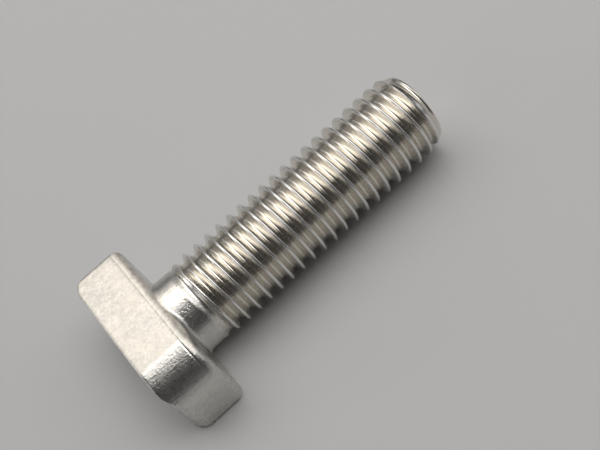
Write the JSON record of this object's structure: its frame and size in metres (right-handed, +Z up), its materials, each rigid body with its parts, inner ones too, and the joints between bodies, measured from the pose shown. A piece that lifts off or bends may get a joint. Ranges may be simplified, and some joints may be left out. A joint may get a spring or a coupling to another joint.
{
  "type": "t-slot bolt",
  "caption": "Stainless hammer-head bolt with a threaded shank; the oblong head drops into a T-slot and turns to lock.",
  "frame": {"origin": "on the floor under the middle of the bolt as it lies, which is the bottom centre of its box", "axes": "+X along the bolt's axis from head to tip, +Y along the head's long direction, +Z up"},
  "size_m": [0.0324, 0.0148, 0.008],
  "materials": {
    "stainless_steel": "bright, lightly tumbled stainless steel"
  },
  "bodies": {
    "root": {"t_slot_bolt": "stainless_steel"}
  },
  "joints": []
}
